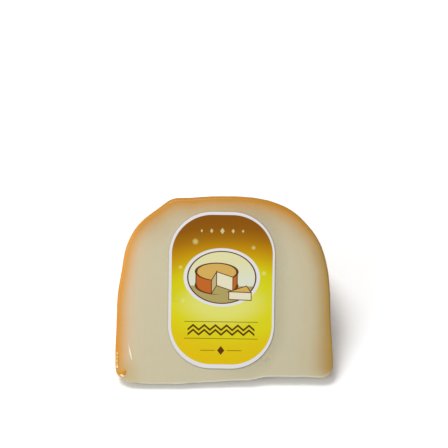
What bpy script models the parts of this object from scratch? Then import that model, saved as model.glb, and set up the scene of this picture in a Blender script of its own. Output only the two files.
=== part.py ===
"""A wedge of manchego cheese in tight clear film, with a paper label on its shown cut face.

The wheel of cheese is a low round drum. The wedge is a tenth of it: its outline, seen square to a
cut face, is half of the drum's cross-section, and it is turned about the wheel's axis from one cut
face to the other. The wedge lies on one cut face, with the labelled one on top. Lengths are in
metres and angles in degrees, +Z is up, X runs along the wheel's axis, and the thin edge of the
wedge is towards -Y. The origin is the middle of the wedge's box, on the surface it lies on.
"""

import math

import bmesh
import bpy
from mathutils import Matrix, Vector

# The wheel and the cut
CUT_ANGLE = 36.0  # a tenth of the wheel
AXIS_BELOW_HEART = 0.0430  # from the wheel's axis to the heart, the point the outline is drawn about
RIM_ABOVE_HEART = 0.0503
TIP_BELOW_HEART = 0.0362
HALF_THICKNESS_LEFT = 0.0503
HALF_THICKNESS_RIGHT = 0.0496
RIM_FULLNESS = 2.6  # exponent of the rounded shoulders, where 2 is an ellipse
TIP_FULLNESS = 15.0  # exponent of the two corners beside the thin edge

# Where the wheel isn't even: the direction from the heart, the swell or the hollow, and its spread
SWELLS = (
    (22.0, -0.0005, 25.0),  # right face draws in a little towards the rim
    (116.5, 0.0017, 6.5),  # ridge that the mould's lid left round the left shoulder
    (162.5, -0.0012, 11.0),  # hollow in the left face, under the shoulder
    (206.0, 0.0012, 15.0),  # left face flares towards the thin edge
    (236.0, 0.0013, 17.5),  # thin edge reaches lowest on the left
    (273.0, -0.0004, 12.0),  # dips in the middle
    (311.0, -0.0036, 24.0),  # and is worn back on the right
    (319.0, -0.0016, 4.5),  # with a nick beside the right corner
    (329.0, 0.0027, 13.0),  # right face flares at the corner
)
CORNERS_ROUND = 150  # points round the outline
FINE_DIRECTIONS = 3600  # directions in which the outline is measured, to space its points evenly
STEPS_OF_TURN = 10  # sections from one cut face to the other

# The edges between the cut faces and the rind, which the tight film rounds over
RIM_EDGE_ROUND = 0.0024
EDGE_ROUND_SHARE = 0.048  # of the distance from the axis, less than one step of the turn at the thin edge

# The label, in the plane of the shown cut face
LABEL_WIDTH = 0.0496
LABEL_HEIGHT = 0.0731
LABEL_CORNER_ACROSS = 0.0172
LABEL_CORNER_ALONG = 0.0225
LABEL_THICKNESS = 0.0003
LABEL_GAP = 0.0003
LABEL_LEFT_OF_HEART = 0.0011
LABEL_ABOVE_HEART = 0.0060
LABEL_TURN = -1.0  # clockwise, as seen
CORNER_POINTS = 16  # points in each rounded corner of the label

PASTE_COLOUR = (0.66, 0.57, 0.38, 1.0)
RIND_COLOUR = (0.74, 0.36, 0.09, 1.0)
LABEL_COLOUR = (0.72, 0.53, 0.03, 1.0)


def clear_scene():
    """Removes whatever the scene holds at the start."""
    for obj in list(bpy.data.objects):
        bpy.data.objects.remove(obj)


def make_material(name, colour, roughness):
    """A plain material with one colour."""
    material = bpy.data.materials.new(name)
    material.use_nodes = True
    shader = material.node_tree.nodes["Principled BSDF"]
    shader.inputs["Base Color"].default_value = colour
    shader.inputs["Roughness"].default_value = roughness
    shader.inputs["Metallic"].default_value = 0.0
    return material


def reach(direction):
    """Distance from the heart to the outline in a direction, in degrees from +X towards the rim."""
    across = math.cos(math.radians(direction))
    along = math.sin(math.radians(direction))
    half_thickness = HALF_THICKNESS_RIGHT if across > 0 else HALF_THICKNESS_LEFT
    height = RIM_ABOVE_HEART if along > 0 else TIP_BELOW_HEART
    fullness = RIM_FULLNESS if along > 0 else TIP_FULLNESS
    sides = abs(across / half_thickness) ** fullness + abs(along / height) ** fullness
    distance = sides ** (-1.0 / fullness)
    for at, swell, spread in SWELLS:
        off = (direction - at + 180.0) % 360.0 - 180.0
        distance += swell * math.exp(-((off / spread) ** 2))
    return distance


def outline():
    """Points of the outline as (X, distance from the wheel's axis), evenly spaced along it."""
    dense = []
    for i in range(FINE_DIRECTIONS + 1):
        direction = i * 360.0 / FINE_DIRECTIONS
        distance = reach(direction)
        turn = math.radians(direction)
        dense.append(Vector((distance * math.cos(turn), AXIS_BELOW_HEART + distance * math.sin(turn))))
    walked = [0.0]
    for a, b in zip(dense, dense[1:]):
        walked.append(walked[-1] + (b - a).length)
    points = []
    at = 0
    for i in range(CORNERS_ROUND):
        wanted = walked[-1] * i / CORNERS_ROUND
        while walked[at + 1] < wanted:
            at += 1
        share = (wanted - walked[at]) / (walked[at + 1] - walked[at])
        points.append(dense[at].lerp(dense[at + 1], share))
    return points


def edge_round(distance):
    """Rounding of a cut edge at a distance from the wheel's axis: small at the thin edge."""
    return min(RIM_EDGE_ROUND, EDGE_ROUND_SHARE * distance)


def make_wedge(paste, rind):
    """The outline's face turned about the wheel's axis, with its two cut edges rounded."""
    shape = bmesh.new()
    corners = [shape.verts.new((x, distance, 0.0)) for x, distance in outline()]
    face = shape.faces.new(corners)
    bmesh.ops.spin(
        shape,
        geom=[face, *face.edges, *face.verts],
        cent=(0.0, 0.0, 0.0),
        axis=(1.0, 0.0, 0.0),
        angle=math.radians(CUT_ANGLE),
        steps=STEPS_OF_TURN,
        use_duplicate=False,
    )
    bmesh.ops.recalc_face_normals(shape, faces=shape.faces)
    weight = shape.edges.layers.float.new("bevel_weight_edge")
    for edge in shape.edges:
        cut_faces = [f for f in edge.link_faces if len(f.verts) == CORNERS_ROUND]
        if len(cut_faces) == 1:
            middle = (edge.verts[0].co + edge.verts[1].co) / 2
            edge[weight] = edge_round(math.hypot(middle.y, middle.z)) / RIM_EDGE_ROUND
    for f in shape.faces:
        is_cut = len(f.verts) == CORNERS_ROUND
        f.material_index = 0 if is_cut else 1
        f.smooth = not is_cut
    mesh = bpy.data.meshes.new("cheese_wedge")
    shape.to_mesh(mesh)
    shape.free()
    mesh.materials.append(paste)
    mesh.materials.append(rind)
    wedge = bpy.data.objects.new("cheese_wedge", mesh)
    rounding = wedge.modifiers.new("film-rounded edges", "BEVEL")
    rounding.limit_method = "WEIGHT"
    rounding.width = RIM_EDGE_ROUND
    rounding.segments = 3
    rounding.use_clamp_overlap = False
    rounding.material = 1
    return wedge


def label_outline():
    """Points round the label in its own plane: straight sides and elliptical corners."""
    points = []
    for quarter in range(4):
        for i in range(CORNER_POINTS + 1):
            turn = math.radians(90.0 * (quarter + i / CORNER_POINTS))
            side = 1.0 if quarter in (0, 3) else -1.0
            top = 1.0 if quarter in (0, 1) else -1.0
            x = side * (LABEL_WIDTH / 2 - LABEL_CORNER_ACROSS) + LABEL_CORNER_ACROSS * math.cos(turn)
            y = top * (LABEL_HEIGHT / 2 - LABEL_CORNER_ALONG) + LABEL_CORNER_ALONG * math.sin(turn)
            points.append((x, y))
    return points


def make_label(paper, axis_place):
    """A flat sticker on the shown cut face, just clear of it."""
    curve = bpy.data.curves.new("label", "CURVE")
    curve.dimensions = "2D"
    curve.fill_mode = "BOTH"
    curve.extrude = LABEL_THICKNESS / 2
    points = label_outline()
    spline = curve.splines.new("POLY")
    spline.points.add(len(points) - 1)
    for point, (x, y) in zip(spline.points, points):
        point.co = (x, y, 0.0, 1.0)
    spline.use_cyclic_u = True
    curve.materials.append(paper)
    label = bpy.data.objects.new("label", curve)
    tilt = Matrix.Rotation(math.radians(CUT_ANGLE), 4, "X")
    middle = Vector(
        (
            -LABEL_LEFT_OF_HEART,
            AXIS_BELOW_HEART + LABEL_ABOVE_HEART,
            LABEL_GAP + LABEL_THICKNESS / 2,
        )
    )
    label.location = axis_place + tilt @ middle
    label.rotation_euler = (tilt @ Matrix.Rotation(math.radians(LABEL_TURN), 4, "Z")).to_euler()
    return label


def box_middle(obj):
    """Middle of an object's box in X and Y, as it is evaluated."""
    bpy.context.view_layer.update()
    evaluated = obj.evaluated_get(bpy.context.evaluated_depsgraph_get())
    corners = [vertex.co for vertex in evaluated.data.vertices]
    middle = Vector((0.0, 0.0, 0.0))
    for i in range(2):
        middle[i] = (min(c[i] for c in corners) + max(c[i] for c in corners)) / 2
    return middle


def main():
    clear_scene()
    paste = make_material("paste", PASTE_COLOUR, 0.45)
    rind = make_material("rind", RIND_COLOUR, 0.35)
    paper = make_material("paper", LABEL_COLOUR, 0.40)
    cheese = bpy.data.collections.new("manchego_cheese")
    bpy.context.scene.collection.children.link(cheese)

    wedge = make_wedge(paste, rind)
    cheese.objects.link(wedge)
    axis_place = -box_middle(wedge)
    wedge.location = axis_place
    cheese.objects.link(make_label(paper, axis_place))


main()
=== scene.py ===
# %% [markdown]
# A retail wedge of manchego: pale hard cheese with an orange rind, shrunk into tight clear film, with
# a paper label on its top cut face. This script dresses the solid model that the frame brings in. It
# makes three main pieces, the cheese, the film round it and the label on the film, and at one corner
# a few small folds of film and a drop of coating. Lengths are in metres, or in millimetres where a
# name ends in MM or a comment says so. +Z is up, and X runs along the axis of the wheel of cheese
# that the wedge was cut from.

import math

import bmesh
import bpy
from mathutils import Matrix, Vector


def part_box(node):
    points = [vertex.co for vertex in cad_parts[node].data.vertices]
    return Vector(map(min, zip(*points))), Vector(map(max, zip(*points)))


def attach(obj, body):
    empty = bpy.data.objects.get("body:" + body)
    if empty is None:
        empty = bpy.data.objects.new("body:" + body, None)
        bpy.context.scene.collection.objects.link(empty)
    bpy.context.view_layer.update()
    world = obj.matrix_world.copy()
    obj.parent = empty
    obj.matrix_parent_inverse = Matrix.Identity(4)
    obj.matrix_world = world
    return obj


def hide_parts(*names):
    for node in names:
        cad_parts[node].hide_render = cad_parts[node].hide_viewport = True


MM = 1000.0  # millimetres in a metre

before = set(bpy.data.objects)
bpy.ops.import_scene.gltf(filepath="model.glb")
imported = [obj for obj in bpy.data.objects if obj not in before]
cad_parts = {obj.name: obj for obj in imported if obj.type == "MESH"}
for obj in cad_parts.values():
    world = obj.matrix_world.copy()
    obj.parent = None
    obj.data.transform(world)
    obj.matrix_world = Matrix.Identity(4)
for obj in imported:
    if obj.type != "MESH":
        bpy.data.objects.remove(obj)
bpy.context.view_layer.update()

# %% [markdown]
# The wheel of cheese is a low drum with soft shoulders. Seen square to a cut, half of its section is
# the wedge's outline: straight sides where the wheel's flat faces were, a bulging rim on top, and at
# the bottom the thin edge where the two cuts meet. A rounded box whose radius changes with direction
# gives that form, and soft swells and hollows on it make it a real, uneven cheese. The solid model
# has nearly the same values, with fewer swells.

# %% Sizes of the wedge
CUT_ANGLE = 36.0  # degrees, a tenth of the wheel
AXIS_BELOW_HEART = 0.0430  # the heart is the point that the outline is drawn about
HALF_THICKNESS_LEFT = 0.0503
HALF_THICKNESS_RIGHT = 0.0496
RIM_ABOVE_HEART = 0.0503
TIP_BELOW_HEART = 0.0362
RIM_FULLNESS = 2.6  # exponent of the rounded shoulders, where 2 is an ellipse
TIP_FULLNESS = 15.0  # exponent of the corners beside the thin edge

# Direction from the heart in degrees, anticlockwise from +X, swell or hollow, and spread in degrees
SWELLS = (
    (22.0, -0.0005, 25.0),  # right face draws in a little towards the rim
    (44.0, -0.0004, 7.5),  # right shoulder is a little flat
    (116.5, 0.0017, 6.5),  # ridge that the mould's lid left round the left shoulder
    (137.0, 0.0003, 8.0),  # left shoulder is full
    (162.5, -0.0012, 11.0),  # hollow in the left face, under the shoulder
    (206.0, 0.0008, 15.0),  # left face flares towards the thin edge
    (216.2, -0.0009, 2.4),  # left corner is rubbed off
    (224.0, 0.0006, 6.0),  # and leaves a slight bulge beside it
    (236.0, 0.0015, 17.5),  # thin edge reaches lowest on the left
    (263.0, 0.0002, 9.0),  # and rises evenly past the middle
    (289.0, 0.0007, 8.0),  # to the last of the full part
    (305.0, 0.0003, 4.0),  # small bump on the worn part
    (311.0, -0.0031, 24.0),  # thin edge is worn back on the right
    (319.0, -0.0016, 4.5),  # with a nick beside the right corner
    (325.5, -0.0006, 3.0),  # right corner is rubbed off
    (329.0, 0.0030, 13.0),  # right face flares at the corner
    (335.0, -0.0004, 5.0),  # and is flat just above it
)
print("outline: a rounded box with", len(SWELLS), "swells and hollows")

# %% [markdown]
# The label's solid has a known place on the cut face, so its middle tells where the wheel's axis
# lies in the frame. With the axis known, any point of the shown cut face is a distance across and a
# distance from the axis, and a height above the face. Everything that lies on the face is placed so.

# %% Find the wheel's axis
# Middle of the label's solid: along the wheel's axis, away from that axis, and above the cut face
LABEL_SOLID_MIDDLE = (-0.0011, 0.0490, 0.00045)

face_turn = Matrix.Rotation(math.radians(CUT_ANGLE), 4, "X")
label_low, label_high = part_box("label")
axis_place = (label_low + label_high) / 2 - face_turn @ Vector(LABEL_SOLID_MIDDLE)
axis_place.z = 0.0
face_place = Matrix.Translation(axis_place) @ face_turn
print("the wheel's axis passes through, mm:", [round(MM * value, 2) for value in axis_place])


# %% [markdown]
# Geometry trees and materials both work out sums, one Math node at a time. Wired by hand, those
# nodes hide the sum. So a small class wraps a value socket, and Python's operators on it add the
# nodes: an expression in the script reads like the sum that the tree works out.


# %% Numbers in a node tree
class Number:
    """A value socket. Each operator adds one Math node and gives its result."""

    def __init__(self, tree, socket):
        self.tree = tree
        self.socket = socket

    def math(self, operation, *others):
        return self.tree.math(operation, self, *others)

    def __add__(self, other):
        return self.math("ADD", other)

    def __radd__(self, other):
        return self.tree.math("ADD", other, self)

    def __sub__(self, other):
        return self.math("SUBTRACT", other)

    def __rsub__(self, other):
        return self.tree.math("SUBTRACT", other, self)

    def __mul__(self, other):
        return self.math("MULTIPLY", other)

    def __rmul__(self, other):
        return self.tree.math("MULTIPLY", other, self)

    def __truediv__(self, other):
        return self.math("DIVIDE", other)

    def __rtruediv__(self, other):
        return self.tree.math("DIVIDE", other, self)

    def __pow__(self, other):
        return self.math("POWER", other)

    def __neg__(self):
        return self.math("MULTIPLY", -1.0)

    def __abs__(self):
        return self.math("ABSOLUTE")

    def __gt__(self, other):
        return self.math("GREATER_THAN", other)

    def least(self, other):
        return self.math("MINIMUM", other)

    def most(self, other):
        return self.math("MAXIMUM", other)

    def smooth(self, low, high):
        """0 below low and 1 above high, with a soft step between."""
        steps = {"interpolation_type": "SMOOTHSTEP"}
        sockets = {"Value": self, "From Min": low, "From Max": high}
        return self.tree.number("ShaderNodeMapRange", steps, sockets)

    def share(self, low, high):
        """0 below low and 1 above high, with an even climb between."""
        sockets = {"Value": self, "From Min": low, "From Max": high}
        return self.tree.number("ShaderNodeMapRange", {}, sockets)


# %% [markdown]
# Every other node comes from one method, which makes a node's settings first and then fills or links
# its sockets. The order matters, because some settings change which sockets a node has. A few short
# methods on top of it cover what is used most: vectors, colours, noise and the bump of a surface.


# %% Trees of nodes
class Tree:
    """A material's or a geometry group's node tree, with short ways to add to it."""

    def __init__(self, nodes):
        self.nodes = nodes

    def add(self, kind, settings=None, sockets=None):
        """One node: its settings are made first, then its sockets are given values or links."""
        node = self.nodes.nodes.new(kind)
        for name, value in (settings or {}).items():
            if name == "stops":
                self.set_stops(node.color_ramp.elements, value)
            else:
                setattr(node, name, value)
        for name, value in (sockets or {}).items():
            self.fill(node.inputs[name], value)
        return node

    def fill(self, socket, value):
        """Links a socket or a Number to a socket, or gives it a plain value."""
        value = value.socket if isinstance(value, Number) else value
        if isinstance(value, bpy.types.NodeSocket):
            self.nodes.links.new(value, socket)
        else:
            socket.default_value = value

    def set_stops(self, elements, stops):
        """Gives a colour ramp its stops, as pairs of a position and a colour."""
        while len(elements) < len(stops):
            elements.new(1.0)
        for element, (position, tint) in zip(elements, stops):
            element.position = position
            element.color = tint

    def number(self, kind, settings=None, sockets=None, output=0):
        return Number(self, self.add(kind, settings, sockets).outputs[output])

    def math(self, operation, *terms):
        return self.number("ShaderNodeMath", {"operation": operation}, dict(enumerate(terms)))

    def vector(self, operation, *terms):
        return self.add("ShaderNodeVectorMath", {"operation": operation}, dict(enumerate(terms)))

    def split(self, vector):
        """The three numbers of a vector socket."""
        parts = self.add("ShaderNodeSeparateXYZ", {}, {"Vector": vector})
        return [Number(self, output) for output in parts.outputs]

    def join(self, x, y, z):
        return self.add("ShaderNodeCombineXYZ", {}, {"X": x, "Y": y, "Z": z}).outputs[0]

    def mix(self, factor, under, over):
        """The colour under, covered by the colour over as far as factor says."""
        sockets = {"Factor": factor, 6: under, 7: over}
        return self.add("ShaderNodeMix", {"data_type": "RGBA"}, sockets).outputs[2]

    def noise(self, place, scale, detail=2.0, roughness=0.5):
        sockets = {"Vector": place, "Scale": scale, "Detail": detail, "Roughness": roughness}
        return self.number("ShaderNodeTexNoise", {}, sockets)

    def own_place(self):
        """The place of the point that a material is colouring."""
        return self.add("ShaderNodeTexCoord").outputs["Object"]

    def ramp(self, stops, factor):
        return self.add("ShaderNodeValToRGB", {"stops": stops}, {"Fac": factor}).outputs[0]

    def bump(self, height, distance, strength):
        """The normal of a surface that a height, in units of a distance, makes uneven."""
        sockets = {"Strength": strength, "Distance": distance, "Height": height}
        return self.add("ShaderNodeBump", {}, sockets).outputs[0]


# %% [markdown]
# A geometry tree is grown into a plain mesh once and then dropped. Its inputs are set on the
# modifier by each socket's identifier before Blender first evaluates it, and the mesh is then moved
# to its place, so that the object itself stays at the origin.


# %% Grow a plain mesh from a geometry tree
def new_group(name, inputs):
    """An empty geometry group with named inputs: the group, its Tree, and the inputs by name."""
    group = bpy.data.node_groups.new(name, "GeometryNodeTree")
    group.interface.new_socket("Geometry", in_out="OUTPUT", socket_type="NodeSocketGeometry")
    for label, kind in inputs.items():
        group.interface.new_socket(label, in_out="INPUT", socket_type="NodeSocket" + kind)
    tree = Tree(group)
    entry = tree.add("NodeGroupInput")
    given = {}
    for label, kind in inputs.items():
        socket = entry.outputs[label]
        given[label] = Number(tree, socket) if kind in ("Float", "Int") else socket
    return group, tree, given


def end_group(tree, geometry, material):
    """Smooth shading, real instances and a material, and then the group's output."""
    geometry = tree.add("GeometryNodeRealizeInstances", {}, {"Geometry": geometry}).outputs[0]
    geometry = tree.add("GeometryNodeSetShadeSmooth", {}, {"Geometry": geometry}).outputs[0]
    geometry = tree.add("GeometryNodeSetMaterial", {}, {"Geometry": geometry, "Material": material})
    tree.add("NodeGroupOutput", {}, {0: geometry.outputs[0]})


def grow(name, group, values, place):
    """The mesh that a geometry group gives for these input values, moved to its place."""
    holder = bpy.data.objects.new(name + "_holder", bpy.data.meshes.new(name + "_holder"))
    bpy.context.scene.collection.objects.link(holder)
    modifier = holder.modifiers.new("tree", "NODES")
    modifier.node_group = group
    for item in group.interface.items_tree:
        if item.in_out == "INPUT":
            modifier[item.identifier] = values[item.name]
    depsgraph = bpy.context.evaluated_depsgraph_get()
    evaluated = holder.evaluated_get(depsgraph)
    mesh = bpy.data.meshes.new_from_object(evaluated, preserve_all_data_layers=True, depsgraph=depsgraph)
    holder.modifiers.remove(modifier)
    bpy.data.objects.remove(holder)
    mesh.name = name
    mesh.transform(place)
    piece = bpy.data.objects.new(name, mesh)
    bpy.context.scene.collection.objects.link(piece)
    print(name, "has", len(mesh.polygons), "faces")
    return piece


# %% [markdown]
# The outline as a curve. A circle of radius 1 already holds the cosine and the sine of each point's
# direction in its X and Y, so its points only have to move out to the outline. The angle between a
# point's direction and a swell comes from their dot product, which has no jump at a full turn.

# %% The outline's curve
OUTLINE_POINTS = 1440


def outline_curve(tree):
    """The wedge's outline round the heart, as a closed curve in X and Y."""
    circle = tree.add("GeometryNodeCurvePrimitiveCircle", {}, {"Resolution": OUTLINE_POINTS, "Radius": 1.0})
    direction = tree.add("GeometryNodeInputPosition").outputs[0]
    across, along, _ = tree.split(direction)
    half = HALF_THICKNESS_LEFT + (across > 0.0) * (HALF_THICKNESS_RIGHT - HALF_THICKNESS_LEFT)
    height = TIP_BELOW_HEART + (along > 0.0) * (RIM_ABOVE_HEART - TIP_BELOW_HEART)
    fullness = TIP_FULLNESS + (along > 0.0) * (RIM_FULLNESS - TIP_FULLNESS)
    sides = abs(across / half) ** fullness + abs(along / height) ** fullness
    reach = sides ** (-1.0 / fullness)
    for at, swell, spread in SWELLS:
        towards = (math.cos(math.radians(at)), math.sin(math.radians(at)), 0.0)
        dot = tree.vector("DOT_PRODUCT", direction, towards).outputs["Value"]
        off = Number(tree, dot).math("ARCCOSINE") / math.radians(spread)
        reach = reach + swell * (-(off * off)).math("EXPONENT")
    moved = {"Geometry": circle.outputs[0], "Position": tree.join(across * reach, along * reach, 0.0)}
    return tree.add("GeometryNodeSetPosition", {}, moved).outputs[0]


# %% [markdown]
# From a point of the outline, one rule leads to any point of the wedge's skin. A turn of 0 is on the
# rind and a quarter turn on a cut face, with the rounded edge between. The swing is where the point
# lies between the two cuts, from -1 at the hidden one to 1 at the shown one. The thin edge is worn
# square to the shown face, since the photograph shows nothing of it below that face, so it lies
# further from the axis towards the hidden cut.

# %% From the outline to the wedge's skin
QUARTER_TURN = math.pi / 2
EDGE_ROUND_SHARE = 0.024  # of the distance from the wheel's axis
SQUARE_UP_TO = (0.010, 0.032)  # distances from the axis between which the square wear fades out


def sampled_outline(tree, curve, share):
    """Place and direction of the outline at a share of its length, as four numbers."""
    settings = {"mode": "FACTOR", "data_type": "FLOAT"}
    sample = tree.add("GeometryNodeSampleCurve", settings, {"Curves": curve, "Factor": share})
    x, y, _ = tree.split(sample.outputs["Position"])
    along_x, along_y, _ = tree.split(sample.outputs["Tangent"])
    return x, y, along_x, along_y


def skin_point(tree, given, outline, turn, swing, inset=0.0, towards_heart=0.0):
    """Point of the skin in space, and the same point in the outline's own plane."""
    edge_x, edge_y, along_x, along_y = outline
    axis_below = given["Axis Below Heart"]
    half_cut = given["Cut Angle"] * 0.5
    from_shown_cut = half_cut - half_cut * swing
    distance = edge_y + axis_below
    wear = (1.0 / from_shown_cut.math("COSINE") - 1.0) * distance
    edge_y = edge_y + wear * (1.0 - distance.smooth(*SQUARE_UP_TO))

    rounding = (edge_y + axis_below) * EDGE_ROUND_SHARE
    inward = rounding * (1.0 - turn.math("COSINE")) + inset
    under_face = rounding * (1.0 - turn.math("SINE"))
    x = (edge_x - along_y * inward) * (1.0 - towards_heart)
    y = (edge_y + along_x * inward) * (1.0 - towards_heart)
    distance = y + axis_below
    angle = half_cut + swing * (half_cut - (under_face / distance).math("ARCSINE"))
    place = tree.join(x, distance * angle.math("COSINE"), distance * angle.math("SINE"))
    return place, tree.join(x, y, 0.0)


# %% [markdown]
# No cheese is quite smooth. The rind has shallow dents, and the thin edge, which is bare paste, has
# crumbled a little. Two noises move the skin in and out: a broad one everywhere, and a fine one on
# the thin edge alone. They are read at the outline and at how far round the wheel a point lies, but
# not at the point itself, so that a cut face stays flat up to its edge.

# %% Unevenness
DENT_SCALE = 130.0
DENT_DEPTH = 0.00025  # from the highest place to the deepest
CRUMB_SCALE = 420.0
CRUMB_DEPTH = 0.0005
NOISE_SPREAD = 0.012  # how far into the noise a cut face lies, which makes the wheel's wall uneven
FACES_DOWN = (0.3, 0.9)  # how far the outline runs across before its side counts as the thin edge


def unevenness(tree, outline, swing):
    """How far the skin is drawn in from the outline, in metres."""
    edge_x, edge_y, along_x, _ = outline
    place = tree.join(edge_x, edge_y, swing * NOISE_SPREAD)
    dents = (tree.noise(place, DENT_SCALE) - 0.5) * DENT_DEPTH
    crumbs = (tree.noise(place, CRUMB_SCALE, detail=3.0, roughness=0.6) - 0.5) * CRUMB_DEPTH
    return dents + crumbs * along_x.smooth(*FACES_DOWN)


# %% [markdown]
# The paste's colour depends on how far it is from the rind, and only the rind: the thin edge is paste
# too. So the outline is parted into the rind and the thin edge, and the distance to each is kept on
# every point, with how far that point's side faces the wheel's rim. The materials read all three.

# %% Distance from the rind and from the thin edge
RIND_ENDS = 59.5  # degrees from straight down, where the rind stops and the thin edge starts


def distance_from(tree, curve, flat_place, thin_edge):
    """How far a point of the outline's plane is from the thin edge, or from the rest, the rind."""
    towards = tree.vector("NORMALIZE", tree.add("GeometryNodeInputPosition").outputs[0]).outputs[0]
    _, up, _ = tree.split(towards)
    into_rind = up + math.cos(math.radians(RIND_ENDS))
    unwanted = into_rind if thin_edge else -into_rind
    edges = tree.add("GeometryNodeCurveToMesh", {}, {"Curve": curve}).outputs[0]
    sockets = {"Geometry": edges, "Selection": unwanted > 0.0}
    part = tree.add("GeometryNodeDeleteGeometry", {"domain": "POINT"}, sockets).outputs[0]
    sockets = {0: part, "Sample Position": flat_place}
    nearest = tree.add("GeometryNodeProximity", {"target_element": "EDGES"}, sockets)
    return nearest.outputs["Distance"]


def keep(tree, geometry, name, value):
    """Stores a number on each point under a name that materials can read."""
    sockets = {"Geometry": geometry, "Name": name, "Value": value}
    return tree.add("GeometryNodeStoreNamedAttribute", {"domain": "POINT"}, sockets).outputs[0]


# %% [markdown]
# The wedge. A flat grid is wrapped over it: one way runs round the outline, and the other from the
# middle of the hidden cut face, out over its rounded edge, across the rind and back in to the middle
# of the shown one. The seam and the two middles then close by merging. The tree's depth sinks the
# whole skin along its normals, so that one tree gives both the film and the cheese inside it.

# %% The wedge's tree
GRID_ROUND = 640
GRID_ACROSS = 97
WALL_SHARE = 0.25  # share of the rings, from the middle outwards, that crosses the rind
ROUND_SHARE = 0.12  # share that goes over a rounded edge
MERGE_DISTANCE = 0.000001
WEDGE_INPUTS = {
    "Cut Angle": "Float",
    "Axis Below Heart": "Float",
    "Depth": "Float",
    "Material": "Material",
}


def wedge_group():
    """A wedge cut from a wheel of cheese, with the wheel's axis along X through the origin."""
    group, tree, given = new_group("wedge of a wheel", WEDGE_INPUTS)
    curve = outline_curve(tree)
    sizes = {"Size X": 1.0, "Size Y": 1.0, "Vertices X": GRID_ROUND + 1, "Vertices Y": GRID_ACROSS}
    grid = tree.add("GeometryNodeMeshGrid", {}, sizes)
    round_it, over_it, _ = tree.split(tree.add("GeometryNodeInputPosition").outputs[0])
    outline = sampled_outline(tree, curve, (round_it + 0.5).math("FRACT"))
    from_middle = abs(over_it) * 2.0
    turn = from_middle.share(WALL_SHARE, WALL_SHARE + ROUND_SHARE) * QUARTER_TURN
    swing = over_it.math("SIGN") * (from_middle / WALL_SHARE).least(1.0)
    towards_heart = from_middle.share(WALL_SHARE + ROUND_SHARE, 1.0)
    inset = unevenness(tree, outline, swing)
    place, flat_place = skin_point(tree, given, outline, turn, swing, inset, towards_heart)

    shape = grid.outputs["Mesh"]
    shape = keep(tree, shape, "from_rind", distance_from(tree, curve, flat_place, thin_edge=False))
    shape = keep(tree, shape, "from_thin_edge", distance_from(tree, curve, flat_place, thin_edge=True))
    shape = keep(tree, shape, "faces_rim", -outline[2])
    shape = tree.add("GeometryNodeSetPosition", {}, {"Geometry": shape, "Position": place}).outputs[0]
    merged = {"Geometry": shape, "Distance": MERGE_DISTANCE}
    shape = tree.add("GeometryNodeMergeByDistance", {}, merged).outputs[0]
    normal = tree.add("GeometryNodeInputNormal").outputs[0]
    sockets = {0: normal, "Scale": -given["Depth"]}
    inwards = tree.add("ShaderNodeVectorMath", {"operation": "SCALE"}, sockets)
    sunk = {"Geometry": shape, "Offset": inwards.outputs[0]}
    shape = tree.add("GeometryNodeSetPosition", {}, sunk).outputs[0]
    end_group(tree, shape, given["Material"])
    return group


# %% [markdown]
# Colours are given as the eye reads them in the finished picture, from 0 to 255, and turned into
# the linear numbers that shaders add up. The lights make a white card on the cut face a little
# brighter than white, so that the floor is quite white, and each colour is divided by that.


# %% Colours and plain materials
LIGHT_ON_FACE = 1.14  # brightness of a white card on the cut face


def colour(red, green, blue):
    """A screen colour from 0 to 255 as linear red, green, blue and alpha, by the sRGB rule."""
    linear = []
    for part in (red / 255, green / 255, blue / 255):
        linear.append(part / 12.92 if part <= 0.04045 else ((part + 0.055) / 1.055) ** 2.4)
    return (*(part / LIGHT_ON_FACE for part in linear), 1.0)


def new_material(name, **constants):
    """A material, its Tree and its Principled shader, with the shader's plain values set."""
    material = bpy.data.materials.new(name)
    material.use_nodes = True
    shader = material.node_tree.nodes["Principled BSDF"]
    for socket, value in constants.items():
        shader.inputs[socket.replace("_", " ")].default_value = value
    return material, Tree(material.node_tree), shader


# %% [markdown]
# The cheese is easiest to paint in the wheel's own terms: how far along the axis, and how far from
# the axis. Both come from the place of each point alone, so no map has to be unwrapped. On the shown
# cut face they are simply how far across and how far up.


# %% The wheel's own coordinates
def wheel_coordinates(tree, place):
    """Millimetres along the wheel's axis, and away from it."""
    from_axis = tree.vector("SUBTRACT", place, tuple(axis_place)).outputs[0]
    x, y, z = tree.split(from_axis)
    return x * MM, (y * y + z * z).math("SQRT") * MM


# %% [markdown]
# The label stands a little proud, so the cheese is darker in a thin line round it. On its right the
# film has lifted, and the shadow is wider. The real shadow is finer than soft light can throw at this
# scale, so it is painted. That needs the label's outline as a distance: straight sides, and corners
# that are quarter circles. The label's print uses the same distance later on.

# %% Label shadow on the cheese
LABEL_WIDTH = 0.0493
LABEL_HEIGHT = 0.0729
LABEL_CORNER = 0.0201
LABEL_TURN = -0.85  # degrees, clockwise as seen
LABEL_ACROSS = -0.00147  # place of its middle along the wheel's axis
LABEL_FROM_AXIS = 0.04921
# Reach of the shadow in millimetres, and its strength
LINE_SHADOW = (0.9, 0.16)
WIDE_SHADOW = (8.0, 0.14)
WIDE_FROM_TO_MM = (-5.0, 22.0)  # across the label, where the wide shadow begins and is whole
SHADOW_HEIGHTS = (-0.0015, -0.0006)  # over the cut face, between which it fades in


def sheet_distance(across, up, inset_across=0.0, inset_along=0.0):
    """About how far outside the label's outline a place is, in millimetres from the label's middle."""
    corner_across = LABEL_CORNER * MM - inset_across
    corner_along = LABEL_CORNER * MM - inset_along
    straight_across = (LABEL_WIDTH / 2 - LABEL_CORNER) * MM
    straight_along = (LABEL_HEIGHT / 2 - LABEL_CORNER) * MM
    past_across = (abs(across) - straight_across).most(0.0) / corner_across
    past_along = (abs(up) - straight_along).most(0.0) / corner_along
    steps = (past_across * past_across + past_along * past_along).math("SQRT")
    return (steps - 1.0) * ((corner_across + corner_along) / 2)


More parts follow.
